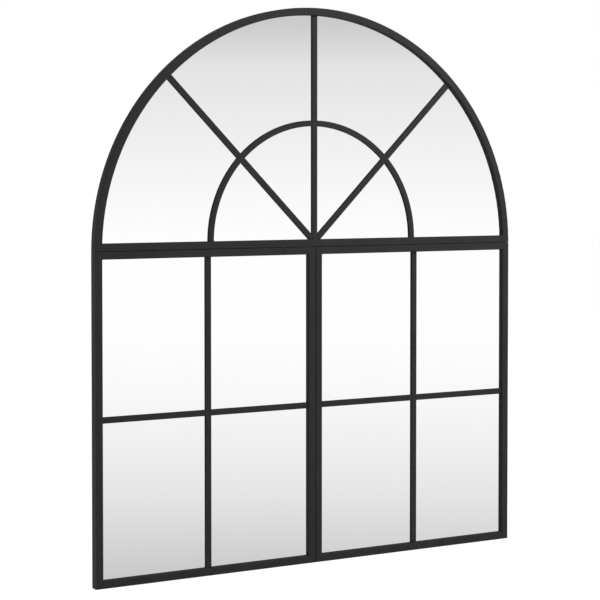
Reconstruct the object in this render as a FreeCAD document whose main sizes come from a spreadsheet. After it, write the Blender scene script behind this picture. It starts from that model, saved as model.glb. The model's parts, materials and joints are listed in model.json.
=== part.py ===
import FreeCAD
import Part
import Sketcher
import math
import os
import re

# Arched wall mirror in three joined panels, in millimetres.
# A half-round fan panel stands on two tall panels. Each panel is a frame of mitred steel tube with flat
# glazing bars, a mirror behind the bars, a gasket and a back board that turn buttons hold in place.
# Steel plates join the panels at the back, and two ring hangers carry the mirror on the wall.
# X runs to the right, Y to the wall and Z up. The origin lies under the middle of the mirror,
# halfway through its depth. Depths inside a panel are counted from the frame's front.

SIZES = {
    # The three panels and their tube frames
    "arch_radius": 450,
    "panel_height": 600,
    "panel_gap": 0.4,
    "frame_face": 14,
    "frame_depth": 20,
    "frame_wall": 1.2,
    "frame_edge_radius": 1.5,
    # Glazing bars in front of the mirrors
    "bar_width": 11,
    "bar_thickness": 2,
    "bar_recess": 4,
    "weld_gap": 0.1,
    "fan_radius": 219,
    "spoke_angle": 45,
    "hub_height": 9.5,
    # Mirror glass, gasket and back board
    "glass_thickness": 3,
    "glass_clearance": 0.8,
    "gasket_thickness": 2,
    "gasket_width": 12,
    "gasket_inset": 4,
    "board_clearance": 0.6,
    # Pan-head screws
    "screw_diameter": 4,
    "screw_reach": 5,
    "screw_clearance": 0.2,
    "screw_head_diameter": 8,
    "screw_head_height": 2.4,
    "screw_head_edge_radius": 1.2,
    # Turn buttons
    "button_length": 34,
    "button_width": 11,
    "button_tip_width": 8,
    "button_thickness": 1.5,
    "button_gap": 0.2,
    "stile_button_share": 0.25,
    "rail_button_share": 0.4,
    "rim_button_angle": 45,
    # Joining plates
    "plate_thickness": 2,
    "plate_length": 50,
    "plate_width": 24,
    "plate_corner_radius": 3,
    "plate_screw_inset": 8,
    "seam_plate_share": 0.75,
    "low_plate_share": 0.1,
    "tee_arm_length": 92,
    "tee_arm_width": 11,
    "tee_stem_length": 60,
    "tee_screw_drop": 22,
    # Ring hangers
    "hanger_share": 0.6,
    "strap_width": 11,
    "strap_thickness": 1.5,
    "strap_screw_drop": 10,
    "strap_end": 6,
    "ring_wire": 3,
    "ring_clearance": 0.3,
    "ring_half_width": 7.5,
    "ring_length": 17,
    "ring_corner_radius": 2,
    # Rubber bumpers
    "bumper_diameter": 12,
    "bumper_height": 7,
    "bumper_edge_radius": 1.5,
    "foot_bumper_share": 0.85,
    "rim_bumper_angle": 22.5,
    # How far cuts run past what they cut
    "overrun": 5,
}

DERIVED = {
    "front": "-(frame_depth + bumper_height) / 2",
    "frame_back": "front + frame_depth",
    "panel_width": "arch_radius - panel_gap / 2",
    "half_panel": "panel_width / 2",
    "panel_middle": "(arch_radius + panel_gap / 2) / 2",
    "seam_row": "(panel_gap + frame_face) / 2",
    "outer_row": "arch_radius - frame_face / 2",
    "mid_height": "panel_height / 2",
    "seam_height": "panel_height + panel_gap / 2",
    "arch_base": "panel_height + panel_gap",
    "opening_radius": "arch_radius - frame_face",
    "half_bar": "bar_width / 2",
    "half_slot": "half_bar + weld_gap",
    "bar_end": "frame_face + weld_gap",
    "hub_depth": "bar_end - hub_height",
    "fan_reach": "2 * fan_radius",
    "glass_front": "bar_recess + bar_thickness",
    "gasket_front": "glass_front + glass_thickness",
    "board_front": "gasket_front + gasket_thickness",
    "board_thickness": "frame_depth - board_front",
    "glass_edge": "frame_face + glass_clearance",
    "gasket_edge": "glass_edge + gasket_inset",
    "gasket_hole_edge": "gasket_edge + gasket_width",
    "board_edge": "frame_face + board_clearance",
    "hole_radius": "screw_diameter / 2 + screw_clearance",
    "button_offset": "panel_height * (1 / 2 - stile_button_share)",
    "button_reach": "button_length - button_width / 2 - button_tip_width / 2",
    "button_lift": "button_thickness + 2 * button_gap",
    "rail_button_place": "arch_radius * rail_button_share",
    "plate_screw_offset": "plate_length / 2 - plate_screw_inset",
    "seam_plate_place": "arch_radius * seam_plate_share",
    "low_plate_height": "panel_height * low_plate_share",
    "tee_shoulder": "seam_row - tee_arm_width / 2",
    "tee_arm_screw": "tee_arm_length / 2 - plate_screw_inset",
    "tee_screw_low": "tee_stem_length - plate_screw_inset",
    "hanger_place": "arch_radius * hanger_share",
    "strap_top": "seam_row + strap_screw_drop",
    "barrel_bore": "ring_wire / 2 + ring_clearance",
    "barrel_radius": "barrel_bore + strap_thickness",
    "foot_bumper_place": "arch_radius * foot_bumper_share",
}

DEPTH_AXIS = FreeCAD.Vector(0, 1, 0)
SKETCH_NORMAL = FreeCAD.Vector(0, 0, 1)
QUARTER = math.pi / 2
LEFT = -1
RIGHT = 1
SIDE_NAMES = {LEFT: "left", RIGHT: "right"}

doc = FreeCAD.newDocument("ArchedWallMirror")
sheet = doc.addObject("Spreadsheet::Sheet", "Sizes")
for row, (size_name, size) in enumerate(SIZES.items(), start=1):
    sheet.set(f"A{row}", size_name.replace("_", " "))
    sheet.set(f"B{row}", str(size))
    sheet.setAlias(f"B{row}", size_name)
doc.recompute()

sub_parts = []


def formula(words):
    """A formula in the names of sizes, as references to the sheet's cells."""

    def reference(word):
        name = word.group()
        if name in SIZES:
            return f"Sizes.{name}"
        if name in DERIVED:
            return f"({formula(DERIVED[name])})"
        return name

    return re.sub(r"[a-z][a-z_]*", reference, words)


def value(words):
    """What a formula comes to now."""
    return float(sheet.evalExpression(formula(words)))


def bind(item, prop, words):
    item.setExpression(prop, formula(words))


def signed(side, words):
    """A formula that is mirrored on the left side."""
    return words if side == RIGHT else f"-({words})"


def new_body(label, across, depth, height, turn="0"):
    """An empty body at its place in the mirror, turned about Y by so many degrees."""
    body = doc.addObject("PartDesign::Body", label)
    body.Label = label
    body.AllowCompound = True
    body.Placement = FreeCAD.Placement(FreeCAD.Vector(), FreeCAD.Rotation(DEPTH_AXIS, 90))
    bind(body, "Placement.Rotation.Angle", turn)
    bind(body, "Placement.Base.x", across)
    bind(body, "Placement.Base.y", depth)
    bind(body, "Placement.Base.z", height)
    sub_parts.append(body)
    return body


def origin_part(body, role):
    return next(item for item in body.Origin.OriginFeatures if item.Role == role)


def new_sketch(body, name, plane):
    sketch = body.newObject("Sketcher::SketchObject", name)
    sketch.AttachmentSupport = [(origin_part(body, plane), "")]
    sketch.MapMode = "FlatFace"
    return sketch


def face_sketch(body, name, depth="0"):
    """A sketch seen from the front, X to the right and Z up, so far behind the body's own zero depth."""
    sketch = new_sketch(body, name, "XZ_Plane")
    bind(sketch, "AttachmentOffset.Base.z", f"-({depth})")
    return sketch


def constrain(sketch, words, *constraint):
    row = sketch.addConstraint(Sketcher.Constraint(*constraint, value(words)))
    bind(sketch, f"Constraints[{row}]", words)


def pin(sketch, element, point, across, up):
    """Fixes a point of a sketch by its two distances from the origin."""
    constrain(sketch, across, "DistanceX", -1, 1, element, point)
    constrain(sketch, up, "DistanceY", -1, 1, element, point)


def following(items):
    """Each item with the next one, all the way round."""
    return zip(items, items[1:] + items[:1])


def draw_outline(sketch, corners):
    """A closed outline of straight lines through corners given as two formulas each."""
    places = [FreeCAD.Vector(value(across), value(up), 0) for across, up in corners]
    lines = [sketch.addGeometry(Part.LineSegment(start, end)) for start, end in following(places)]
    for line, next_line in following(lines):
        sketch.addConstraint(Sketcher.Constraint("Coincident", line, 2, next_line, 1))
    for line, (across, up) in zip(lines, corners):
        pin(sketch, line, 1, across, up)


def rectangle(left, right, low, high):
    """The corners of a rectangle."""
    return [(left, low), (right, low), (right, high), (left, high)]


def draw_rectangle(sketch, left, right, low, high):
    draw_outline(sketch, rectangle(left, right, low, high))


def draw_circle(sketch, across, up, radius):
    middle = FreeCAD.Vector(value(across), value(up), 0)
    ring = sketch.addGeometry(Part.Circle(middle, SKETCH_NORMAL, value(radius)))
    pin(sketch, ring, 3, across, up)
    constrain(sketch, radius, "Radius", ring)


def draw_arc(sketch, across, up, radius, start, end):
    """An arc about a pinned centre. Its ends are left free for the lines that meet it."""
    middle = FreeCAD.Vector(value(across), value(up), 0)
    circle = Part.Circle(middle, SKETCH_NORMAL, value(radius))
    arc = sketch.addGeometry(Part.ArcOfCircle(circle, start, end))
    pin(sketch, arc, 3, across, up)
    constrain(sketch, radius, "Radius", arc)
    return arc


def draw_line_between(sketch, arc, next_arc):
    start = sketch.Geometry[arc].EndPoint
    end = sketch.Geometry[next_arc].StartPoint
    return sketch.addGeometry(Part.LineSegment(start, end))


def draw_rounded_loop(sketch, rounds):
    """A closed loop of arcs and the lines that touch them, from (across, up, radius, start, end) each."""
    arcs = [draw_arc(sketch, *each) for each in rounds]
    for arc, next_arc in following(arcs):
        line = draw_line_between(sketch, arc, next_arc)
        sketch.addConstraint(Sketcher.Constraint("Tangent", arc, 2, line, 1))
        sketch.addConstraint(Sketcher.Constraint("Tangent", line, 2, next_arc, 1))


def draw_tube_section(sketch, left, right, low, high):
    """A tube's section: a rectangle with rounded corners, and its bore."""
    near = f"{left} + frame_edge_radius"
    far = f"{right} - frame_edge_radius"
    bottom = f"{low} + frame_edge_radius"
    top = f"{high} - frame_edge_radius"
    centres = [(near, bottom), (far, bottom), (far, top), (near, top)]
    rounds = []
    for turn, (across, up) in enumerate(centres):
        start = (turn + 2) * QUARTER
        rounds.append((across, up, "frame_edge_radius", start, start + QUARTER))
    draw_rounded_loop(sketch, rounds)
    bore = (f"{left} + frame_wall", f"{right} - frame_wall", f"{low} + frame_wall", f"{high} - frame_wall")
    draw_rectangle(sketch, *bore)


def draw_half_disc(sketch, radius, base):
    """A half disc about the origin, cut off straight at a height above its centre."""
    start = math.asin(value(base) / value(radius))
    arc = draw_arc(sketch, "0", "0", radius, start, math.pi - start)
    chord = draw_line_between(sketch, arc, arc)
    sketch.addConstraint(Sketcher.Constraint("Coincident", arc, 2, chord, 1))
    sketch.addConstraint(Sketcher.Constraint("Coincident", chord, 2, arc, 1))
    for point in (1, 2):
        constrain(sketch, base, "DistanceY", -1, 1, arc, point)


def pad(body, sketch, length):
    """Gives a front sketch its thickness, towards the wall."""
    feature = body.newObject("PartDesign::Pad", "Pad")
    feature.Profile = sketch
    feature.Reversed = True
    bind(feature, "Length", length)
    return feature


def pad_both_ways(body, sketch, length):
    """Gives a section its length, half to each side of its plane."""
    feature = body.newObject("PartDesign::Pad", "Length")
    feature.Profile = sketch
    feature.SideType = "Symmetric"
    bind(feature, "Length", length)
    return feature


def cut_through(body, sketch):
    feature = body.newObject("PartDesign::Pocket", "Cut")
    feature.Profile = sketch
    feature.Type = "ThroughAll"
    feature.SideType = "Symmetric"
    return feature


def drill_back_wall(body, places):
    """Screw holes in the back wall of a tube, at two formulas each."""
    holes = face_sketch(body, "ScrewHoles", "frame_depth")
    for across, up in places:
        draw_circle(holes, across, up, "hole_radius")
    drilled = body.newObject("PartDesign::Pocket", "Drilled")
    drilled.Profile = holes
    drilled.Reversed = True
    bind(drilled, "Length", "2 * frame_wall")
    return drilled


def round_edges(body, base, radius, wanted):
    """Rounds the edges of a feature that a test picks out."""
    doc.recompute()
    names = [f"Edge{i}" for i, edge in enumerate(base.Shape.Edges, start=1) if wanted(edge, base.Shape)]
    rounded = body.newObject("PartDesign::Fillet", "Rounded")
    rounded.Base = (base, names)
    bind(rounded, "Radius", radius)
    return rounded


def runs_in_depth(edge, shape):
    """Whether an edge is straight and runs from front to back."""
    if edge.Curve.TypeId != "Part::GeomLine":
        return False
    return round(edge.Curve.Direction.cross(DEPTH_AXIS).Length, 6) == 0


def lies_at_back(edge, shape):
    """Whether an edge lies in the plane of a shape's back."""
    return round(edge.BoundBox.YMin - shape.BoundBox.YMax, 6) == 0


# Tube frames

def mitred_tube(label, across, height, turn, length, screws_along=()):
    """A straight frame tube along its own X, its outer side at zero height, its ends cut at 45 degrees."""
    body = new_body(label, across, "front", height, turn)
    section = new_sketch(body, "Section", "YZ_Plane")
    draw_tube_section(section, "0", "frame_depth", "0", "frame_face")
    pad_both_ways(body, section, length)
    mitres = face_sketch(body, "Mitres")
    for side in (LEFT, RIGHT):
        tip = signed(side, f"{length} / 2 + overrun")
        heel = signed(side, f"{length} / 2 - frame_face - overrun")
        past = "frame_face + overrun"
        draw_outline(mitres, [(tip, "-overrun"), (heel, past), (tip, past)])
    cut_through(body, mitres)
    if screws_along:
        drill_back_wall(body, [(along, "frame_face / 2") for along in screws_along])
    return body


def on_rim(angle, side=RIGHT):
    """A place on the rim's middle line, at an angle above its foot."""
    return signed(side, f"outer_row * cos({angle})"), f"outer_row * sin({angle})"


RIM_BUTTON_ANGLES = ("90 - rim_button_angle", "90", "90 + rim_button_angle")


def arch_rim():
    """The half-round tube, its feet mitred to meet the fan panel's bottom rail."""
    body = new_body("arch_rim", "0", "front", "arch_base")
    section = new_sketch(body, "Section", "XY_Plane")
    draw_tube_section(section, "opening_radius", "arch_radius", "0", "frame_depth")
    bend = body.newObject("PartDesign::Revolution", "Bend")
    bend.Profile = section
    bend.ReferenceAxis = (origin_part(body, "Y_Axis"), [""])
    bend.Angle = 180
    bend.Reversed = True
    feet = face_sketch(body, "Feet")
    for side in (LEFT, RIGHT):
        tip = signed(side, "arch_radius + overrun")
        heel = signed(side, "opening_radius - overrun")
        draw_outline(feet, [(tip, "-overrun"), (heel, "-overrun"), (heel, "frame_face + overrun")])
    cut_through(body, feet)
    drill_back_wall(body, [on_rim(angle) for angle in RIM_BUTTON_ANGLES])


def both_ways(*places):
    """Each place and its mirror image."""
    return [signed(side, place) for place in places for side in (LEFT, RIGHT)]


SEAM_SCREWS = ("seam_plate_place - plate_screw_offset", "seam_plate_place + plate_screw_offset")
STILE_PLATE_HEIGHTS = {"middle": "mid_height", "low": "low_plate_height"}
TEE_STEM_HEIGHTS = ("seam_height - tee_screw_drop", "seam_height - tee_screw_low")
STILE_BUTTON_HEIGHTS = ("mid_height - button_offset", "mid_height + button_offset")


def fan_frame():
    arch_rim()
    screws = both_ways("rail_button_place", "tee_arm_screw", "hanger_place", *SEAM_SCREWS)
    mitred_tube("arch_bottom_rail", "0", "arch_base", "0", "2 * arch_radius", screws)


def panel_frame(side):
    """The four tubes of a tall panel."""
    name = SIDE_NAMES[side]
    middle = signed(side, "panel_middle")
    stile_heights = list(STILE_BUTTON_HEIGHTS)
    outer_screws = [f"{height} - mid_height" for height in stile_heights]
    stile_heights += TEE_STEM_HEIGHTS
    for height in STILE_PLATE_HEIGHTS.values():
        stile_heights += [f"{height} - plate_screw_offset", f"{height} + plate_screw_offset"]
    inner_screws = [signed(-side, f"{height} - mid_height") for height in stile_heights]
    top_screws = [signed(-side, f"{place} - panel_middle") for place in ("hanger_place", *SEAM_SCREWS)]
    outer_edge = signed(side, "arch_radius")
    inner_edge = signed(side, "panel_gap / 2")
    inward = signed(side, "-90")
    outward = signed(side, "90")
    mitred_tube(f"{name}_outer_stile", outer_edge, "mid_height", inward, "panel_height", outer_screws)
    mitred_tube(f"{name}_inner_stile", inner_edge, "mid_height", outward, "panel_height", inner_screws)
    mitred_tube(f"{name}_top_rail", middle, "panel_height", "180", "panel_width", top_screws)
    mitred_tube(f"{name}_bottom_rail", middle, "0", "0", "panel_width")


# Glazing bars

def flat_bar(label, across, height, corners):
    """A flat bar behind the frame's front, from the corners of its face."""
    body = new_body(label, across, "front", height)
    face = face_sketch(body, "Face", "bar_recess")
    draw_outline(face, corners)
    pad(body, face, "bar_thickness")
    return body


def cut_ring(body, centre, inner, outer):
    """Cuts away a flat ring about a height on the body's middle line."""
    ring = face_sketch(body, "Ring")
    draw_circle(ring, "0", centre, inner)
    draw_circle(ring, "0", centre, outer)
    cut_through(body, ring)


def spoke(label, corners):
    """A bar of the fan, its far end cut to the rim's inner curve."""
    body = flat_bar(label, "0", "arch_base", corners)
    cut_ring(body, "0", "opening_radius - weld_gap", "2 * arch_radius")


def beside_spoke(side, along, offset):
    """A place so far along a slanting spoke from where the spokes meet, and so far below its middle line."""
    across = f"({along}) * sin(spoke_angle) + ({offset}) * cos(spoke_angle)"
    up = f"hub_height + ({along}) * cos(spoke_angle) - ({offset}) * sin(spoke_angle)"
    return signed(side, across), up


def slanting_spoke(side):
    """A spoke that butts against the middle spoke and the bottom rail."""
    foot = signed(side, "hub_depth * tan(spoke_angle) + half_bar / cos(spoke_angle)")
    shoulder = "hub_height + half_slot / tan(spoke_angle) + half_bar / sin(spoke_angle)"
    corner = signed(side, "half_slot")
    corners = [
        (foot, "bar_end"),
        beside_spoke(side, "arch_radius", "half_bar"),
        beside_spoke(side, "arch_radius", "-half_bar"),
        (corner, shoulder),
        (corner, "bar_end"),
    ]
    spoke(f"spoke_{SIDE_NAMES[side]}", corners)


def fan_bar(label, corners):
    """A piece of the fan's half ring, cut from a wedge between two neighbouring bars."""
    body = flat_bar(label, "0", "arch_base", corners)
    cut_ring(body, "frame_face", "fan_radius + half_bar", "2 * fan_reach")
    hole = face_sketch(body, "Inside")
    draw_circle(hole, "0", "frame_face", "fan_radius - half_bar")
    cut_through(body, hole)


def low_wedge(side):
    """The space between the bottom rail and a slanting spoke."""
    foot = signed(side, "hub_depth * tan(spoke_angle) + half_slot / cos(spoke_angle)")
    far = signed(side, "fan_reach")
    return [(foot, "bar_end"), (far, "bar_end"), beside_spoke(side, "fan_reach", "half_slot")]


def high_wedge(side):
    """The space between a slanting spoke and the middle one."""
    corner = signed(side, "half_slot")
    shoulder = "hub_height + half_slot * (1 + cos(spoke_angle)) / sin(spoke_angle)"
    far = beside_spoke(side, "fan_reach", "-half_slot")
    return [(corner, shoulder), far, (corner, "hub_height + fan_reach")]


def fan_bars():
    spoke("spoke_centre", rectangle("-half_bar", "half_bar", "bar_end", "arch_radius"))
    for side in (LEFT, RIGHT):
        slanting_spoke(side)
    wedges = [low_wedge(LEFT), high_wedge(LEFT), high_wedge(RIGHT), low_wedge(RIGHT)]
    for count, wedge in enumerate(wedges, start=1):
        fan_bar(f"fan_bar_{count}", wedge)


def panel_bars(side):
    """The upright bar of a tall panel and the two cross bars that butt against it."""
    name = SIDE_NAMES[side]
    middle = signed(side, "panel_middle")
    upright = rectangle("-half_bar", "half_bar", "bar_end", "panel_height - bar_end")
    flat_bar(f"{name}_upright_bar", middle, "0", upright)
    for place, way in (("outer", side), ("inner", -side)):
        near = signed(way, "half_slot")
        far = signed(way, "half_panel - bar_end")
        cross = rectangle(near, far, "-half_bar", "half_bar")
        flat_bar(f"{name}_cross_bar_{place}", middle, "mid_height", cross)


# Mirrors, gaskets and back boards

def fan_sheet(label, edge, depth, thickness, hole_edge=None):
    """A half-round sheet of the fan panel, set in from the frame's outside, with or without a hole."""
    body = new_body(label, "0", "front", "arch_base")
    face = face_sketch(body, "Face", depth)
    draw_half_disc(face, f"arch_radius - {edge}", edge)
    pad(body, face, thickness)
    if hole_edge:
        hole = face_sketch(body, "Hole")
        draw_half_disc(hole, f"arch_radius - {hole_edge}", hole_edge)
        cut_through(body, hole)


def panel_sheet(label, side, edge, depth, thickness, hole_edge=None):
    """A rectangular sheet of a tall panel, set in from the frame's outside, with or without a hole."""
    body = new_body(label, signed(side, "panel_middle"), "front", "0")
    face = face_sketch(body, "Face", depth)
    draw_rectangle(face, f"{edge} - half_panel", f"half_panel - {edge}", edge, f"panel_height - {edge}")
    pad(body, face, thickness)
    if hole_edge:
        hole = face_sketch(body, "Hole")
        sides = (f"{hole_edge} - half_panel", f"half_panel - {hole_edge}")
        draw_rectangle(hole, *sides, hole_edge, f"panel_height - {hole_edge}")
        cut_through(body, hole)


SHEETS = {
    "mirror": ("glass_edge", "glass_front", "glass_thickness"),
    "gasket": ("gasket_edge", "gasket_front", "gasket_thickness", "gasket_hole_edge"),
    "back_board": ("board_edge", "board_front", "board_thickness"),
}


def panel_sheets():
    for name, sizes in SHEETS.items():
        fan_sheet(f"arch_{name}", *sizes)
        for side, side_name in SIDE_NAMES.items():
            panel_sheet(f"{side_name}_{name}", side, *sizes)


# Fasteners at the back

def screw_group(label, places, lift):
    """Pan-head screws in the frame's back wall, their heads on something so thick."""
    body = new_body(label, "0", f"frame_back + {lift}", "0")
    shanks = face_sketch(body, "Shanks", f"-({lift} + screw_reach)")
    heads = face_sketch(body, "Heads")
    for across, up in places:
        draw_circle(shanks, across, up, "screw_diameter / 2")
        draw_circle(heads, across, up, "screw_head_diameter / 2")
    pad(body, shanks, f"{lift} + screw_reach")
    head = pad(body, heads, "screw_head_height")
    round_edges(body, head, "screw_head_edge_radius", lies_at_back)


def turn_button(label, across, height, turn):
    """A flat button that turns on its screw, its tip over the back board at rest."""
    body = new_body(label, across, "frame_back + button_gap", height, turn)
    face = face_sketch(body, "Face")
    tip = ("0", "button_reach", "button_tip_width / 2", 0, math.pi)
    heel = ("0", "0", "button_width / 2", math.pi, 2 * math.pi)
    draw_rounded_loop(face, [tip, heel])
    draw_circle(face, "0", "0", "hole_radius")
    pad(body, face, "button_thickness")


def turn_buttons():
    """Five buttons round the fan panel, four on the stiles of each tall panel, and their screws."""
    buttons = {"arch": [], "left": [], "right": []}
    for angle in RIM_BUTTON_ANGLES:
        across, up = on_rim(angle)
        buttons["arch"].append((across, f"arch_base + {up}", f"-90 - ({angle})"))
    for place in both_ways("rail_button_place"):
        buttons["arch"].append((place, "arch_base + frame_face / 2", "0"))
    for side, name in SIDE_NAMES.items():
        for height in STILE_BUTTON_HEIGHTS:
            buttons[name].append((signed(side, "outer_row"), height, signed(side, "-90")))
            buttons[name].append((signed(side, "seam_row"), height, signed(side, "90")))
    for panel, places in buttons.items():
        for count, place in enumerate(places, start=1):
            turn_button(f"{panel}_turn_button_{count}", *place)
    screws = [(across, up) for places in buttons.values() for across, up, turn in places]
    screw_group("turn_button_screws", screws, "button_lift")


def joining_plate(label, across, height, corners, holes):
    """A steel plate across a seam, from the corners of its face and its screw holes. Returns its screws."""
    body = new_body(label, across, "frame_back", height)
    face = face_sketch(body, "Face")
    draw_outline(face, corners)
    for hole in holes:
        draw_circle(face, *hole, "hole_radius")
    plate = pad(body, face, "plate_thickness")
    round_edges(body, plate, "plate_corner_radius", runs_in_depth)
    return [(f"{across} + ({x})", f"{height} + ({z})") for x, z in holes]


def joining_plates():
    """A tee where the three panels meet, two plates on the level seam and two on the upright one."""
    arm, stem = "tee_arm_length / 2", "plate_width / 2"
    foot, shoulder, top = "-tee_stem_length", "tee_shoulder", "tee_shoulder + tee_arm_width"
    right_half = [(stem, foot), (stem, shoulder), (arm, shoulder), (arm, top)]
    left_half = [(signed(LEFT, x), z) for x, z in reversed(right_half)]
    holes = [(place, "seam_row") for place in both_ways("tee_arm_screw")]
    for drop in ("tee_screw_drop", "tee_screw_low"):
        holes += [(place, f"-{drop}") for place in both_ways("seam_row")]
    screws = joining_plate("tee_plate", "0", "seam_height", right_half + left_half, holes)

    level = rectangle(*both_ways("plate_length / 2"), *both_ways("plate_width / 2"))
    level_holes = [(x, z) for x in both_ways("plate_screw_offset") for z in both_ways("seam_row")]
    for side, name in SIDE_NAMES.items():
        place = signed(side, "seam_plate_place")
        screws += joining_plate(f"seam_plate_{name}", place, "seam_height", level, level_holes)
    upright = [(z, x) for x, z in level]
    upright_holes = [(z, x) for x, z in level_holes]
    for name, height in STILE_PLATE_HEIGHTS.items():
        screws += joining_plate(f"stile_plate_{name}", "0", height, upright, upright_holes)
    screw_group("plate_screws", screws, "plate_thickness")


# Hangers and bumpers

def hanger_strap(side):
    """A strap across the level seam, rolled into a barrel at its top for the ring."""
    label = f"hanger_strap_{SIDE_NAMES[side]}"
    body = new_body(label, signed(side, "hanger_place"), "frame_back", "seam_height")
    face = face_sketch(body, "Face")
    draw_rectangle(face, "-strap_width / 2", "strap_width / 2", "-(seam_row + strap_end)", "strap_top")
    for place in both_ways("seam_row"):
        draw_circle(face, "0", place, "hole_radius")
    pad(body, face, "strap_thickness")
    barrel = new_sketch(body, "Barrel", "YZ_Plane")
    for radius in ("barrel_bore", "barrel_radius"):
        draw_circle(barrel, "barrel_radius", "strap_top", radius)
    pad_both_ways(body, barrel, "strap_width")


def hanger_ring(side):
    """A ring of round wire that swings in the strap's barrel, up at rest as it is on its hook."""
    depth, height = "frame_back + barrel_radius", "seam_height + strap_top"
    body = new_body(f"hanger_ring_{SIDE_NAMES[side]}", signed(side, "hanger_place"), depth, height)
    bend = "ring_half_width - ring_corner_radius"
    path = face_sketch(body, "Path")
    right_corner = (bend, "ring_corner_radius", "ring_corner_radius", -QUARTER, 0)
    crown = ("0", "ring_length - ring_half_width", "ring_half_width", 0, math.pi)
    left_corner = (f"-({bend})", "ring_corner_radius", "ring_corner_radius", math.pi, 3 * QUARTER)
    draw_rounded_loop(path, [right_corner, crown, left_corner])
    wire = new_sketch(body, "Wire", "YZ_Plane")
    draw_circle(wire, "0", "0", "ring_wire / 2")
    doc.recompute()
    ring = body.newObject("PartDesign::AdditivePipe", "Ring")
    ring.Profile = wire
    ring.Spine = path


def hangers():
    screws = []
    for side in (LEFT, RIGHT):
        hanger_strap(side)
        hanger_ring(side)
        for row in both_ways("seam_row"):
            screws.append((signed(side, "hanger_place"), f"seam_height + {row}"))
    screw_group("hanger_screws", screws, "strap_thickness")


def wall_bumpers():
    """Rubber bumpers near the ends of the bottom rails and beside the rim's crown."""
    body = new_body("wall_bumpers", "0", "frame_back", "0")
    face = face_sketch(body, "Face")
    for side in (LEFT, RIGHT):
        draw_circle(face, signed(side, "foot_bumper_place"), "frame_face / 2", "bumper_diameter / 2")
        across, up = on_rim("90 - rim_bumper_angle", side)
        draw_circle(face, across, f"arch_base + {up}", "bumper_diameter / 2")
    bumpers = pad(body, face, "bumper_height")
    round_edges(body, bumpers, "bumper_edge_radius", lies_at_back)


fan_frame()
fan_bars()
for panel_side in (LEFT, RIGHT):
    panel_frame(panel_side)
    panel_bars(panel_side)
panel_sheets()
turn_buttons()
joining_plates()
hangers()
wall_bumpers()
doc.recompute()

for item in doc.Objects:
    if {"Invalid", "Error"} & set(item.State):
        raise RuntimeError(f"{item.Label} failed: {item.State}")
    if item.TypeId == "PartDesign::Pocket" and item.Shape.Volume >= item.BaseFeature.Shape.Volume:
        raise RuntimeError(f"{item.Label} cuts nothing")
for item in sub_parts:
    if item.Shape.isNull() or not item.Shape.isValid():
        raise RuntimeError(f"{item.Label} has no sound shape")

os.makedirs("parts", exist_ok=True)
for item in sub_parts:
    item.Shape.exportStep(f"parts/{item.Label}.step")
    print(f"{item.Label}: {len(item.Shape.Solids)} solid(s), {item.Shape.Volume:.0f} mm3")
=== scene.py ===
# %% [markdown]
# # An arched wall mirror
#
# The real mirror is made like a fanlight window. Steel tubes make three frames, flat bars divide
# them into panes, and a sheet of mirror glass lies behind the bars of each frame. The CAD model
# holds every piece at its real size and place. This lesson loads it as a fixed frame and gives each
# piece the finish that a camera sees.

# %% Load the CAD model
import json
import math

import bmesh
import bpy
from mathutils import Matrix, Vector
from mathutils.bvhtree import BVHTree


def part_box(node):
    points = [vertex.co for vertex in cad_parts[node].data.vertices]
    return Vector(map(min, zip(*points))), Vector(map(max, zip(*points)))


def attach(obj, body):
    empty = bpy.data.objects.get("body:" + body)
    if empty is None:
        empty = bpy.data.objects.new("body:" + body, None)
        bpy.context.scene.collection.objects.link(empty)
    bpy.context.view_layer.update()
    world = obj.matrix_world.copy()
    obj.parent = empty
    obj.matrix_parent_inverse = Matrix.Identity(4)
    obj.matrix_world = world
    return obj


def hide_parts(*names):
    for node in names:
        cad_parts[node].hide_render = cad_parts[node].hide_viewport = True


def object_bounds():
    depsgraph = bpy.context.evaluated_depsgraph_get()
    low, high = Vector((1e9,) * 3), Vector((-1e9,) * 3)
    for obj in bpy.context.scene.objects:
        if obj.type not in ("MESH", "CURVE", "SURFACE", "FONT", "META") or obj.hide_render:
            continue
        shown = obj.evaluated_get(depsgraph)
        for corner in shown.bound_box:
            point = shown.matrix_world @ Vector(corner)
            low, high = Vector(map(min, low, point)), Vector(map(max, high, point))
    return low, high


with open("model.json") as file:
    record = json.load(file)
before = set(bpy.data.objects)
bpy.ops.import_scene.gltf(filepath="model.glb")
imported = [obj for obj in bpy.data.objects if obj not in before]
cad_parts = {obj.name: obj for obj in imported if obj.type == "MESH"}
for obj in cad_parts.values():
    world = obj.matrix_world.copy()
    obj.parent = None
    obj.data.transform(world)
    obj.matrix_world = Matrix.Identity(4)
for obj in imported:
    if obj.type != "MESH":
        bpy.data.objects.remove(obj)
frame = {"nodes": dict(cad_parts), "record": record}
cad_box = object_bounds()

MM = 0.001
nodes = frame["nodes"]
scene = bpy.context.scene
slot_of = {part["node"]: part["material_slot"] for part in frame["record"]["subparts"]}
bodies = frame["record"]["behaviour"]["bodies"]
body_of = {node: body for body, group in bodies.items() for node in group}
print("highest corner of their box", [round(side, 4) for side in cad_box[1]])

# %% [markdown]
# ## The camera
#
# The photograph was taken from the left with a long lens. Upright lines stay upright in it, so the
# camera was held almost level and the picture was shifted. A lens shift does the same here. It is
# kept small, because every other view of this scene keeps it too, and a tilt of less than two
# degrees does the rest.

# %% Camera
CAMERA_PLACE = (-1.6628, -2.8712, 0.7347)
CAMERA_HEADING = math.radians(29.674)
CAMERA_TILT = math.radians(1.713)
LENS_MM = 105.03
SENSOR_MM = 36
PICTURE_SHIFT = -0.12

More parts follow.
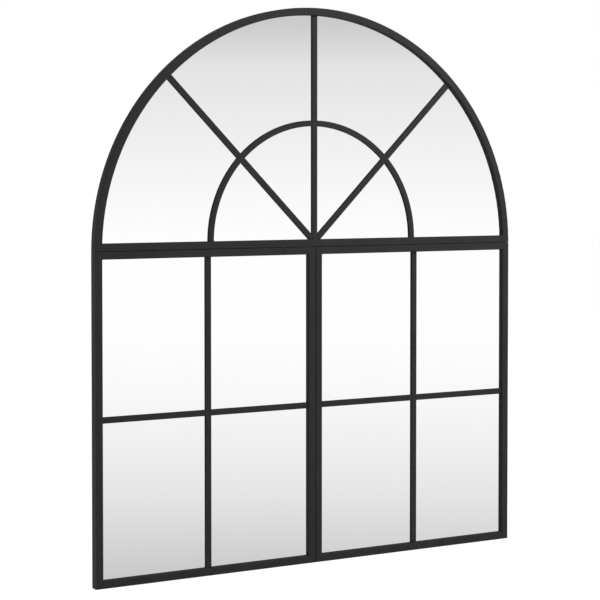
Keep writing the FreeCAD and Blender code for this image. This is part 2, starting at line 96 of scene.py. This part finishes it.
lens = bpy.data.cameras.new("photo_lens")
lens.sensor_width = SENSOR_MM
lens.lens = LENS_MM
lens.shift_y = PICTURE_SHIFT
camera = bpy.data.objects.new("photo_camera", lens)
camera.location = CAMERA_PLACE
camera.rotation_euler = (math.pi / 2 - CAMERA_TILT, 0, -CAMERA_HEADING)
scene.collection.objects.link(camera)
scene.camera = camera
scene.view_settings.view_transform = "Standard"
print(f"camera {math.dist(CAMERA_PLACE, (0, 0, CAMERA_PLACE[2])):.2f} m from the mirror")

# %% [markdown]
# ## A bench for nodes
#
# Finishes are small sums: a base tone plus a little noise. Written as Python expressions they can
# be read at a glance, so a wire stands for a node's output, and adding or multiplying wires adds
# the Math nodes. Every other node comes from one method, which takes the kind of node, its settings
# and what goes into its sockets.

# %% Wires and benches
class Wire:
    """A node's output that can be added, subtracted, multiplied and raised like a number."""

    def __init__(self, bench, socket):
        self.bench = bench
        self.socket = socket

    def __add__(self, other):
        return self.bench.maths("ADD", self, other)

    def __sub__(self, other):
        return self.bench.maths("SUBTRACT", self, other)

    def __rsub__(self, other):
        return self.bench.maths("SUBTRACT", other, self)

    def __mul__(self, other):
        return self.bench.maths("MULTIPLY", self, other)

    def __pow__(self, power):
        return self.bench.maths("POWER", self, power)

    __radd__ = __add__
    __rmul__ = __mul__


class Bench:
    """A node tree to work on."""

    def __init__(self, tree):
        self.tree = tree

    def plug(self, made, key, source):
        """Fills an input, named or numbered, with a wire, a list of wires or a value of its own."""
        open_inputs = [socket for socket in made.inputs if not socket.is_unavailable]
        if isinstance(key, int):
            target = open_inputs[key]
        else:
            target = next(socket for socket in open_inputs if socket.name == key)
        if isinstance(source, (Wire, list)):
            for wire in source if isinstance(source, list) else [source]:
                self.tree.links.new(wire.socket, target)
        else:
            target.default_value = source

    def node(self, kind, settings=None, sockets=None):
        """Makes a node, sets it up, fills its sockets and hands back its outputs by name."""
        made = self.tree.nodes.new(kind)
        for name, setting in (settings or {}).items():
            if name == "stops":
                lay_stops(made.color_ramp, setting)
            else:
                setattr(made, name, setting)
        for key, source in (sockets or {}).items():
            self.plug(made, key, source)
        open_outputs = [socket for socket in made.outputs if not socket.is_unavailable]
        return {socket.name: Wire(self, socket) for socket in open_outputs}

    def maths(self, operation, *values):
        return self.node("ShaderNodeMath", {"operation": operation}, dict(enumerate(values)))["Value"]

    def mix(self, share, first, second):
        """A colour between two, by a share from 0 to 1."""
        colours = {"Factor": share, "A": first, "B": second}
        return self.node("ShaderNodeMix", {"data_type": "RGBA"}, colours)["Result"]


def lay_stops(ramp, stops):
    """Sets a ramp's stops from pairs of place and colour."""
    while len(ramp.elements) < len(stops):
        ramp.elements.new(1)
    for element, (place, colour) in zip(ramp.elements, stops):
        element.position = place
        element.color = colour


def paint(code):
    """The linear numbers that a shader takes for a screen colour such as #b59068."""
    screen = [int(code[i:i + 2], 16) / 255 for i in (1, 3, 5)]
    return tuple(c / 12.92 if c <= 0.04045 else ((c + 0.055) / 1.055) ** 2.4 for c in screen) + (1,)


print("a mid grey in the shader's numbers:", [round(c, 3) for c in paint("#808080")])

# %% [markdown]
# ## The studio
#
# A mirror shows the room more than itself. The room of the photograph is pale: brightest at the
# height of the camera and a little below, greyer towards the ceiling and the floor. A real room
# could be built for it, but a world that gets its tone from the height of the view is lighter and
# works from every side. Only mirror rays see those bands, and they are dimmed for light that a pane
# throws onto the frame, as a room isn't white all round. The camera sees plain white.

# %% World
ROOM_BANDS = [
    (-1.00, "#ececec"),
    (-0.50, "#dedede"),
    (-0.300, "#c4c4c4"),
    (-0.225, "#c8c8c8"),
    (-0.176, "#e8e8e8"),
    (-0.125, "#f9f9f9"),
    (-0.090, "#ffffff"),
    (-0.040, "#ffffff"),
    (-0.015, "#fafafa"),
    (0.042, "#eaeaea"),
    (0.062, "#e4e4e4"),
    (0.088, "#cacaca"),
    (0.30, "#b0b0b0"),
    (1.00, "#a0a0a0"),
]
SKY_LEVEL = 0.36
DIM_SHARE = 0.35
WHITE = (1, 1, 1, 1)

world = bpy.data.worlds.new("studio")
world.use_nodes = True
world.node_tree.nodes.clear()
room = Bench(world.node_tree)
ray = room.node("ShaderNodeLightPath")
toward = room.node("ShaderNodeTexCoord")["Generated"]
rise = room.node("ShaderNodeSeparateXYZ", sockets={"Vector": toward})["Z"]
band_stops = [((height + 1) / 2, paint(tone)) for height, tone in ROOM_BANDS]
bands = room.node("ShaderNodeValToRGB", {"stops": band_stops}, {"Fac": rise * 0.5 + 0.5})["Color"]


def background(colour, strength):
    sockets = {"Color": colour, "Strength": strength}
    return room.node("ShaderNodeBackground", sockets=sockets)["Background"]


straight = room.maths("LESS_THAN", ray["Diffuse Depth"], 0.5)
band_level = DIM_SHARE + straight * (1 - DIM_SHARE)
sky, banded = background(WHITE, SKY_LEVEL), background(bands, band_level)
lit = room.node("ShaderNodeMixShader", sockets={0: ray["Is Glossy Ray"], 1: sky, 2: banded})["Shader"]
plain = room.maths("MAXIMUM", ray["Is Camera Ray"], ray["Is Transmission Ray"])
seen = room.node("ShaderNodeMixShader", sockets={0: plain, 1: lit, 2: background(WHITE, 1)})["Shader"]
room.node("ShaderNodeOutputWorld", sockets={"Surface": seen})
scene.world = world
print(f"{len(ROOM_BANDS)} bands in the room, sky at {SKY_LEVEL}")

# %% [markdown]
# ## Lamps
#
# An even grey sky and three soft lamps light the mirror. The key hangs close in front of the arch,
# so the frame is brightest at the top, the fill stands far out on the left, and a lamp behind
# lights the back. The panes don't show them.

# %% Lamps
LAMPS = {
    "key": {"place": (0.7, -0.95, 1.8), "size": 0.8, "watts": 36},
    "fill": {"place": (-6.0, -1.0, 0.5), "size": 3.0, "watts": 180},
    "back": {"place": (1.2, 3.3, 2.8), "size": 2.0, "watts": 105},
}
MIRROR_MIDDLE = Vector((0, 0, 0.52))

for lamp_name, lamp in LAMPS.items():
    light = bpy.data.lights.new(f"{lamp_name}_lamp", "AREA")
    light.size = lamp["size"]
    light.energy = lamp["watts"]
    holder = bpy.data.objects.new(f"{lamp_name}_lamp", light)
    holder.location = lamp["place"]
    holder.rotation_euler = (MIRROR_MIDDLE - holder.location).to_track_quat("-Z", "Y").to_euler()
    holder.visible_camera = False
    holder.visible_glossy = False
    scene.collection.objects.link(holder)
print(f"{len(LAMPS)} lamps")

# %% [markdown]
# ## Finishes
#
# Each finish is one Principled shader whose colour and roughness follow noise at the size that the
# real surface shows: the orange peel of a powder coat is about two millimetres, the flakes of a
# fibreboard about the same, a wiped pane a hand's width. Object coordinates are used, so that a
# pattern stays put and is the same size on every piece.

# %% Finish
class Finish(Bench):
    """A material, its Principled shader and the nodes that feed it."""

    def __init__(self, name):
        self.material = bpy.data.materials.new(name)
        self.material.use_nodes = True
        super().__init__(self.material.node_tree)
        self.shader = self.tree.nodes["Principled BSDF"]
        self.place = self.node("ShaderNodeTexCoord")["Object"]

    def set(self, **sockets):
        """Fills the shader's sockets, named with underscores for spaces."""
        for name, source in sockets.items():
            self.plug(self.shader, name.replace("_", " "), source)

    def noise(self, grain_mm, detail=2, stretch=None):
        """Noise from 0 to 1 with grains of a size in millimetres, drawn out along an axis if asked."""
        place = self.place
        if stretch:
            sockets = {"Vector": place, "Scale": stretch}
            place = self.node("ShaderNodeMapping", sockets=sockets)["Vector"]
        sockets = {"Vector": place, "Scale": 1 / (grain_mm * MM), "Detail": detail}
        return self.node("ShaderNodeTexNoise", sockets=sockets)["Fac"]

    def bump(self, height, depth_mm, strength=1):
        """A dented surface, from a height between 0 and 1 and the depth that it stands for."""
        sockets = {"Height": height, "Distance": depth_mm * MM, "Strength": strength}
        self.set(Normal=self.node("ShaderNodeBump", sockets=sockets)["Normal"])


finishes = {}

# %% [markdown]
# ### Black powder coat
#
# The tubes and bars are sprayed with powder and baked. The coat is matt, dark grey rather than
# black, and has a fine orange peel. A little noise in the colour keeps large faces from looking
# like plastic.

# %% Powder coat
coat = Finish("black_powder_coat")
peel = coat.noise(2.2, detail=2)
cloud = coat.noise(70, detail=4)
coat.set(Base_Color=coat.mix(cloud, paint("#262727"), paint("#2d2d2d")))
coat.set(Roughness=0.54 + cloud * 0.08 + peel * 0.08)
coat.set(Specular_IOR_Level=0.10)
coat.bump(peel, depth_mm=0.012, strength=0.4)
finishes["frame_black"] = coat.material
print("powder coat for", sum(slot == "frame_black" for slot in slot_of.values()), "nodes")

# %% [markdown]
# ### Mirror glass
#
# A silvered pane is a nearly perfect reflector, and clear glass adds next to no colour. The last
# wipe of a cloth leaves long streaks that are a trace rougher, which only shows where a sharp
# reflection crosses them.

# %% Mirror
mirror = Finish("silvered_glass")
wipe = mirror.noise(60, detail=5, stretch=(1, 1, 0.25))
mirror.set(Base_Color=mirror.mix(wipe, paint("#fdfdfd"), paint("#ffffff")))
mirror.set(Metallic=1)
mirror.set(Roughness=0.004 + wipe * 0.012)
finishes["mirror_glass"] = mirror.material

# %% [markdown]
# ### Fibreboard
#
# The back boards are bare fibreboard: pressed wood fibres, tan, with darker and lighter flecks and
# a soft cloudiness from the press. There is no grain direction.

# %% Fibreboard
board = Finish("bare_fibreboard")
fleck = board.noise(1.6, detail=6)
press = board.noise(120, detail=3)
tan = board.mix(press, paint("#a8845c"), paint("#b8956b"))


def flecks(start, full):
    """A mask that grows from 0 to 1 between two heights of the noise."""
    sockets = {"Value": fleck, "From Min": start, "From Max": full}
    return board.node("ShaderNodeMapRange", sockets=sockets)["Result"]


dark_fleck = flecks(0.56, 0.72)
pale_fleck = flecks(0.42, 0.28)
flecked = board.mix(dark_fleck * 0.6, tan, paint("#7d5c3b"))
board.set(Base_Color=board.mix(pale_fleck * 0.5, flecked, paint("#cfb08a")))
board.set(Roughness=0.78 + fleck * 0.15)
board.bump(fleck, depth_mm=0.08, strength=0.5)
finishes["fibreboard"] = board.material

# %% [markdown]
# ### Zinc-plated steel
#
# Stamped fittings are plated with zinc. The plating is silvery with a faint blue and yellow bloom,
# and the rolled sheet under it leaves fine lines. Screws have the same plating, a little brighter
# and without the lines.

# %% Zinc
def zinc_plate(name, low, high, lines):
    """A zinc finish between two tones, with or without the lines of rolled sheet."""
    zinc = Finish(name)
    bloom = zinc.noise(14, detail=3)
    if lines:
        scuff = zinc.noise(0.8, detail=4, stretch=(1, 1, 0.08))
    else:
        scuff = zinc.noise(0.7, detail=3)
    zinc.set(Base_Color=zinc.mix(bloom, paint(low), paint(high)))
    zinc.set(Metallic=1)
    zinc.set(Roughness=0.22 + bloom * 0.12 + scuff * 0.14)
    zinc.bump(scuff, depth_mm=0.02, strength=0.4)
    return zinc.material


finishes["zinc_steel"] = zinc_plate("zinc_plated_sheet", "#b4b8bd", "#c6c2b2", lines=True)
finishes["screw_steel"] = zinc_plate("zinc_plated_screw", "#bcc0c6", "#cbc9c0", lines=False)

# %% [markdown]
# ### Rubber and foam
#
# The wall bumpers are moulded black rubber with a dusty bloom. The gaskets behind the panes are
# closed-cell foam, which looks like rubber full of tiny dimples. Its colour carries painted shade:
# darker at the bottom of each dimple and lighter on its rim.

# %% Rubber
rubber = Finish("moulded_rubber")
dust = rubber.noise(6, detail=4)
rubber.set(Base_Color=rubber.mix(dust, paint("#1d1d1d"), paint("#2b2a29")))
rubber.set(Roughness=0.62 + dust * 0.2)
rubber.bump(rubber.noise(0.5, detail=2), depth_mm=0.03, strength=0.5)
finishes["bumper_rubber"] = rubber.material

foam = Finish("closed_cell_foam")
cell_sockets = {"Vector": foam.place, "Scale": 1 / (0.7 * MM)}
dimples_and_shade = foam.node("ShaderNodeTexVoronoi", sockets=cell_sockets)["Distance"]
# The colour is painted darker at the bottom of each dimple and lighter on its rim: painted shade in
# the dimples.
foam.set(Base_Color=foam.mix(dimples_and_shade, paint("#1b1b1b"), paint("#303030")))
foam.set(Roughness=0.85 + dimples_and_shade * 0.1)
foam.bump(dimples_and_shade, depth_mm=0.15, strength=0.8)
finishes["gasket_rubber"] = foam.material

# %% Dress the CAD nodes
for node_name, node in nodes.items():
    for place in range(len(node.data.materials)):
        node.data.materials[place] = finishes[slot_of[node_name]]
print(f"{len(finishes)} finishes on {len(nodes)} nodes")

# %% [markdown]
# ## Copies of CAD pieces
#
# A CAD mesh is never changed here. A piece that needs more than a finish gets a copy: its loose
# triangles are joined, its flat faces made whole, and the copy takes the place of the CAD piece on
# the same body. A draft object carries the modifiers until the shape is done, and then only the
# plain mesh is kept.

# %% Copies
CORNER = math.radians(30)
FLAT = math.radians(0.2)
MERGE = 0.001 * MM


def merged_shape(node_name):
    """A copy of a CAD mesh with its loose triangles joined and its flat faces whole."""
    shape = bmesh.new()
    shape.from_mesh(nodes[node_name].data)
    bmesh.ops.remove_doubles(shape, verts=shape.verts, dist=MERGE)
    bmesh.ops.dissolve_limit(shape, angle_limit=FLAT, verts=shape.verts, edges=shape.edges)
    return shape


def draft_of(shape):
    """A draft object with a shape's mesh. The shape is freed."""
    mesh = bpy.data.meshes.new("draft")
    shape.to_mesh(mesh)
    shape.free()
    draft = bpy.data.objects.new("draft", mesh)
    scene.collection.objects.link(draft)
    return draft


def stand_in(draft, node_name, ending):
    """Turns a draft into the plain piece that stands for a CAD node, on its body and in its finish."""
    depsgraph = bpy.context.evaluated_depsgraph_get()
    mesh = bpy.data.meshes.new_from_object(draft.evaluated_get(depsgraph), depsgraph=depsgraph)
    bpy.data.objects.remove(draft)
    mesh.name = f"{node_name}_{ending}"
    mesh.materials.clear()
    mesh.materials.append(finishes[slot_of[node_name]])
    piece = bpy.data.objects.new(mesh.name, mesh)
    scene.collection.objects.link(piece)
    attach(piece, body_of[node_name])
    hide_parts(node_name)
    return piece


boxes = {node_name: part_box(node_name) for node_name in nodes}
print("copies can be made of", len(boxes), "nodes")

# %% [markdown]
# ## Bent pieces
#
# A CAD mesh draws a curve as short straight pieces, and in the long arch they show. In polar
# coordinates round its centre, a bent tube is straight. So it is unrolled, cut finer and rolled up
# again, and each new corner lands on the true curve. The half ring of bars gets the same treatment
# further down.

# %% Roll them finer
FINE_TURN = math.radians(0.5)
CUTS = 3
RIM_CENTRE, FAN_CENTRE = (corner[2] for corner in boxes["arch_bottom_rail"])


def roll_finer(shape, centre):
    """Cuts a bent shape finer along its bend. The centre is its height above the floor."""
    for vert in shape.verts:
        up = vert.co.z - centre
        vert.co = (math.atan2(up, vert.co.x), vert.co.y, math.hypot(up, vert.co.x))
    bent = []
    for edge in shape.edges:
        start, end = edge.verts
        if abs(start.co.x - end.co.x) > FINE_TURN:
            bent.append(edge)
    bmesh.ops.subdivide_edges(shape, edges=bent, cuts=CUTS, use_grid_fill=True)
    for vert in shape.verts:
        turn, depth, radius = vert.co
        height = min(centre + radius * math.sin(turn), cad_box[1][2])
        vert.co = (radius * math.cos(turn), depth, height)


def tube_piece(shape, node_name, ending):
    """A tube with smooth round edges, whose flat faces keep their own normals."""
    draft = draft_of(shape)
    draft.data.shade_smooth()
    draft.data.set_sharp_from_angle(angle=CORNER)
    draft.modifiers.new("flat_faces", "WEIGHTED_NORMAL").keep_sharp = True
    return stand_in(draft, node_name, ending)


rim_shape = merged_shape("arch_rim")
roll_finer(rim_shape, RIM_CENTRE)
rim = tube_piece(rim_shape, "arch_rim", "round")
print(f"rim of {len(rim.data.polygons)} faces")

# %% [markdown]
# ## Tight seams
#
# The plates at the back draw the three frames together until their tubes touch there. What shows in
# front is a dark groove between round edges, and no light comes through. The CAD tubes stand a hair
# apart, so in two copies the flat side at the seam is tilted: its back edge nears the next tube.

# %% Draw the frames together
SEAM_SHARE = 0.95
ACROSS, UP = 0, 2
SEAMS = (
    ("arch_bottom_rail", "left_top_rail", UP),
    ("left_inner_stile", "right_inner_stile", ACROSS),
)


def drawn_up(node_name, next_name, axis):
    """A copy of a tube whose flat side reaches across most of the seam, at the back."""
    (low, high), (next_low, next_high) = boxes[node_name], boxes[next_name]
    above = low[axis] > next_high[axis]
    side = low[axis] if above else high[axis]
    seam = (next_high[axis] if above else next_low[axis]) - side
    half_depth = (low[1] + high[1]) / 2
    shape = merged_shape(node_name)
    for vert in shape.verts:
        if abs(vert.co[axis] - side) < MERGE and vert.co.y > half_depth:
            vert.co[axis] += seam * SEAM_SHARE
    tube_piece(shape, node_name, "tight")
    return seam


for node_name, next_name, axis in SEAMS:
    closed_seam = abs(drawn_up(node_name, next_name, axis))
    print(f"{node_name} tilted towards {next_name}, seam {closed_seam / MM:.2f} mm")

# %% [markdown]
# ## Sheet metal with soft edges
#
# Flat bars, plates, straps and turn buttons are cut from sheet, then tumbled or coated, so that no
# edge is quite sharp. A bevel catches the light there. Edges that touch a neighbour stay sharp, as
# a weld or a tight fit closes them: each edge looks for another piece next to it, and only open
# edges are bevelled.

# %% Find the open edges
TOUCH = 0.15 * MM


def surface_tree(node_name):
    mesh = nodes[node_name].data
    faces = [tuple(face.vertices) for face in mesh.polygons]
    return BVHTree.FromPolygons([corner.co for corner in mesh.vertices], faces)


surfaces = {node_name: surface_tree(node_name) for node_name in nodes}


def neighbours(node_name):
    """The surfaces of the nodes whose boxes come close to a node's box."""
    low, high = boxes[node_name]
    near = []
    for other, (other_low, other_high) in boxes.items():
        gaps = [max(low[i] - other_high[i], other_low[i] - high[i]) for i in range(3)]
        if other != node_name and max(gaps) <= TOUCH:
            near.append(surfaces[other])
    return near


def weigh_open_edges(shape, near):
    """Marks the corner edges of a shape that no neighbour touches for a bevel."""
    weight = shape.edges.layers.float.new("bevel_weight_edge")
    for edge in shape.edges:
        if edge.is_manifold and edge.calc_face_angle() > CORNER:
            middle = (edge.verts[0].co + edge.verts[1].co) / 2
            found = [surface.find_nearest(middle, TOUCH)[0] for surface in near]
            touches = any(place is not None for place in found)
            edge[weight] = 0 if touches else 1
            edge.smooth = not touches


# %% Bevel them
BEVELS_MM = {
    "spoke": 0.2, "_bar": 0.2, "turn_button": 0.3, "plate": 0.35, "hanger_strap": 0.3}
BEVEL_STEPS = 2


def softened(node_name, width_mm):
    """A copy of a sheet-metal node with its open edges bevelled."""
    shape = merged_shape(node_name)
    if "fan_bar" in node_name:
        roll_finer(shape, FAN_CENTRE)
    weigh_open_edges(shape, neighbours(node_name))
    draft = draft_of(shape)
    draft.data.shade_smooth()
    bevel = draft.modifiers.new("soft_edges", "BEVEL")
    bevel.limit_method = "WEIGHT"
    bevel.width = width_mm * MM
    bevel.segments = BEVEL_STEPS
    bevel.harden_normals = True
    return stand_in(draft, node_name, "soft")


soft_pieces = []
for node_name in nodes:
    widths = [width for word, width in BEVELS_MM.items() if word in node_name]
    if widths and "screws" not in node_name:
        soft_pieces.append(softened(node_name, widths[0]))
print(f"{len(soft_pieces)} pieces of sheet metal with soft edges")

# %% [markdown]
# ## Silver behind the glass
#
# A mirror is silvered on the back of its glass. Seen through the glass, the silver seems to lie a
# little behind the front, so a thin dark gap shows between each bar and its mirror image. The panes
# here are copies whose front face is set back to that depth. They reach out to the tubes, so that
# no slit shows along the frame.

# %% Silver
SILVER_DEPTH = 1.0 * MM
PANE_REACH = 0.75 * MM
HALF_TURNED = 0.5


def widen(shape, reach):
    """Moves the narrow sides of a flat shape outwards, each along its own normal."""
    shape.normal_update()
    moves = []
    for vert in shape.verts:
        sides = [face.normal for face in vert.link_faces if abs(face.normal.y) < HALF_TURNED]
        total = sum(sides, Vector())
        moves.append(total * (reach * len(sides) / total.length_squared))
    for vert, move in zip(shape.verts, moves):
        vert.co += move


def silvered(node_name):
    """A wider copy of a pane, whose front face lies where the silver is seen."""
    shape = merged_shape(node_name)
    widen(shape, PANE_REACH)
    front = min(vert.co.y for vert in shape.verts)
    for vert in shape.verts:
        if vert.co.y < front + MERGE:
            vert.co.y += SILVER_DEPTH
    return stand_in(draft_of(shape), node_name, "silver")


panes = [silvered(node_name) for node_name in nodes if slot_of[node_name] == "mirror_glass"]
print(f"{len(panes)} panes")

# %% [markdown]
# ## Screws
#
# Thirty-nine pan-head screws hold the plates, buttons and straps. One screw is shaped by a rule in
# Geometry Nodes: a grid is bent into a flat dome, a tapered shank is joined under it and a cross is
# cut into its top. The tree then sets a copy on every seat, each turned by chance, as screws end
# up. The seats are read from the CAD screws.

# %% Screw tree
SCREW = {
    "Head Radius": 4 * MM, "Head Height": 2.4 * MM, "Shank Radius": 2 * MM, "Shank Length": 7 * MM,
    "Cross Length": 4.6 * MM, "Cross Width": 0.95 * MM, "Cross Depth": 1.5 * MM}
SHANK_OVERLAP = 0.5 * MM
TIP_SHARE = 0.7
CROSS_TAPER = 0.28
SCREW_SIDES = 48
HEAD_RINGS = 12
TURN = 2 * math.pi
SCREW_SEED = 7


def combine(bench, across, along, up):
    return bench.node("ShaderNodeCombineXYZ", sockets={"X": across, "Y": along, "Z": up})["Vector"]


def worked(bench, kind, mesh, **sockets):
    """A mesh after one more node."""
    return bench.node(kind, sockets={"Geometry": mesh, **sockets})["Geometry"]


def shaped(bench, mesh, position):
    return worked(bench, "GeometryNodeSetPosition", mesh, Position=position)


def split_position(bench):
    position = bench.node("GeometryNodeInputPosition")["Position"]
    return bench.node("ShaderNodeSeparateXYZ", sockets={"Vector": position})


def pan_head(bench, given):
    """A flat dome: a grid bent round, its rim on the seat and its crown above."""
    sizes = {"Size X": 1, "Size Y": 1, "Vertices X": SCREW_SIDES + 1, "Vertices Y": HEAD_RINGS}
    grid = bench.node("GeometryNodeMeshGrid", sockets=sizes)["Mesh"]
    place = split_position(bench)
    turn = (place["X"] + 0.5) * TURN
    climb = (place["Y"] + 0.5) * (TURN / 4)
    radius = given["Head Radius"] * bench.maths("COSINE", climb) ** 0.5
    height = given["Head Height"] * bench.maths("SINE", climb) ** 0.5
    across, along = (radius * bench.maths(wave, turn) for wave in ("COSINE", "SINE"))
    dome = shaped(bench, grid, combine(bench, across, along, height))
    rim = {"Vertices": SCREW_SIDES, "Radius": given["Head Radius"]}
    disc = bench.node("GeometryNodeMeshCircle", {"fill_type": "NGON"}, rim)["Mesh"]
    base = bench.node("GeometryNodeFlipFaces", sockets={"Mesh": disc})["Mesh"]
    joined = bench.node("GeometryNodeJoinGeometry", sockets={"Geometry": [dome, base]})["Geometry"]
    return worked(bench, "GeometryNodeMergeByDistance", joined, Distance=MERGE)


def cross_wing(bench, given, quarter_turns):
    """One wing of the cross recess, narrower towards its bottom."""
    size = combine(bench, given["Cross Length"], given["Cross Width"], given["Cross Depth"] * 2)
    block = bench.node("GeometryNodeMeshCube", sockets={"Size": size})["Mesh"]
    place = split_position(bench)
    depth_share = bench.maths("DIVIDE", place["Z"], given["Cross Depth"])
    taper = 1 - CROSS_TAPER + depth_share * CROSS_TAPER
    tapered = combine(bench, place["X"] * taper, place["Y"] * taper, place["Z"])
    wing = shaped(bench, block, tapered)
    top = combine(bench, 0.0, 0.0, given["Head Height"])
    turn = (0, 0, quarter_turns * TURN / 4)
    return worked(bench, "GeometryNodeTransform", wing, Translation=top, Rotation=turn)


def carved(bench, operation, *meshes):
    """Joins meshes into one solid, or cuts the second from the first."""
    sockets = {0: list(meshes)} if operation == "UNION" else dict(enumerate(meshes))
    settings = {"operation": operation, "solver": "EXACT"}
    return bench.node("GeometryNodeMeshBoolean", settings, sockets)["Mesh"]


def screw_tree(steel):
    tree = bpy.data.node_groups.new("pan_head_screws", "GeometryNodeTree")
    tree.interface.new_socket("Seats", in_out="INPUT", socket_type="NodeSocketGeometry")
    for name, size in SCREW.items():
        entry = tree.interface.new_socket(name, in_out="INPUT", socket_type="NodeSocketFloat")
        entry.default_value = size
    tree.interface.new_socket("Screws", in_out="OUTPUT", socket_type="NodeSocketGeometry")
    bench = Bench(tree)
    given = bench.node("NodeGroupInput")
    shank_sizes = {"Vertices": SCREW_SIDES, "Depth": given["Shank Length"] + SHANK_OVERLAP,
                   "Radius Top": given["Shank Radius"],
                   "Radius Bottom": given["Shank Radius"] * TIP_SHARE}
    shank = bench.node("GeometryNodeMeshCone", sockets=shank_sizes)["Mesh"]
    down = combine(bench, 0.0, 0.0, given["Shank Length"] * -1)
    under = worked(bench, "GeometryNodeTransform", shank, Translation=down)
    blank = carved(bench, "UNION", pan_head(bench, given), under)
    cross = carved(bench, "UNION", cross_wing(bench, given, 0), cross_wing(bench, given, 1))
    screw = carved(bench, "DIFFERENCE", blank, cross)
    upright = {"Points": given["Seats"], "Instance": screw, "Rotation": (-TURN / 4, 0, 0)}
    stood = bench.node("GeometryNodeInstanceOnPoints", sockets=upright)["Instances"]
    limits = {"Min": 0, "Max": TURN, "Seed": SCREW_SEED}
    chance = bench.node("FunctionNodeRandomValue", {"data_type": "FLOAT"}, limits)["Value"]
    about = {"Axis": (0, 0, 1), "Angle": chance}
    spin = bench.node("FunctionNodeAxisAngleToRotation", sockets=about)["Rotation"]
    spun = {"Instances": stood, "Rotation": spin, "Local Space": True}
    turned = bench.node("GeometryNodeRotateInstances", sockets=spun)["Instances"]
    solid = worked(bench, "GeometryNodeRealizeInstances", turned)
    painted = worked(bench, "GeometryNodeSetMaterial", solid, Material=steel)
    bench.node("NodeGroupOutput", sockets={"Screws": painted})
    return tree


screws = screw_tree(finishes["screw_steel"])
print(f"screw tree of {len(screws.nodes)} nodes")

# %% Set the screws
def solids_of(node_name):
    """The lowest and highest corner of each solid in a CAD node."""
    shape = merged_shape(node_name)
    left = set(shape.verts)
    corners = []
    while left:
        reached = [left.pop()]
        for vert in reached:
            for edge in vert.link_edges:
                other = edge.other_vert(vert)
                if other in left:
                    left.remove(other)
                    reached.append(other)
        low = [min(vert.co[i] for vert in reached) for i in range(3)]
        high = [max(vert.co[i] for vert in reached) for i in range(3)]
        corners.append((Vector(low), Vector(high)))
    shape.free()
    return sorted(corners, key=lambda pair: tuple(pair[0]))


def set_screws(node_name):
    """The screws of a CAD group, made by the tree and turned into a plain mesh."""
    corners = solids_of(node_name)
    seats = []
    for low, high in corners:
        middle = (low + high) / 2
        seats.append((middle.x, high.y - SCREW["Head Height"], middle.z))
    shank_length = seats[0][1] - corners[0][0].y
    draft = draft_of(bmesh.new())
    draft.data.from_pydata(seats, [], [])
    modifier = draft.modifiers.new("screws", "NODES")
    modifier.node_group = screws
    for item in screws.interface.items_tree:
        if item.name == "Shank Length":
            modifier[item.identifier] = shank_length
    made = stand_in(draft, node_name, "crossed").data
    made.shade_smooth()
    made.set_sharp_from_angle(angle=CORNER)
    print(f"{node_name}: {len(seats)} screws, {len(made.polygons)} faces")


for node_name in ("plate_screws", "turn_button_screws", "hanger_screws"):
    set_screws(node_name)

# %% [markdown]
# ## The floor
#
# The mirror stands on a plain white floor. To the camera the floor is nearly as bright as the white
# room behind it, and a share of plain paint in it keeps the soft shadow. Mirror rays pass it by, so
# that the panes show the room's bands.

# %% Floor
FLOOR_HALF = 20
FLOOR_DROP = 0.5 * MM
GLOW_SHARE = 0.85
GLOW_LEVEL = 1.13

floor_paint = Finish("studio_floor")
floor_paint.set(Base_Color=paint("#f2f2f2"), Roughness=0.9, Specular_IOR_Level=0.0)
floor_ray = floor_paint.node("ShaderNodeLightPath")["Is Camera Ray"]
glow_sockets = {"Color": WHITE, "Strength": GLOW_LEVEL}
glow = floor_paint.node("ShaderNodeEmission", sockets=glow_sockets)["Emission"]
painted_floor = Wire(floor_paint, floor_paint.shader.outputs["BSDF"])
floor_surface = floor_paint.node("ShaderNodeMixShader", sockets={
    0: floor_ray * GLOW_SHARE, 1: painted_floor, 2: glow})["Shader"]
floor_paint.plug(floor_paint.tree.nodes["Material Output"], "Surface", floor_surface)

signs = ((-1, -1), (1, -1), (1, 1), (-1, 1))
corners = [(x * FLOOR_HALF, y * FLOOR_HALF, -FLOOR_DROP) for x, y in signs]
floor_mesh = bpy.data.meshes.new("studio_floor")
floor_mesh.from_pydata(corners, [], [(0, 1, 2, 3)])
floor_mesh.materials.append(floor_paint.material)
floor = bpy.data.objects.new("studio_floor", floor_mesh)
floor.visible_glossy = False
scene.collection.objects.link(floor)
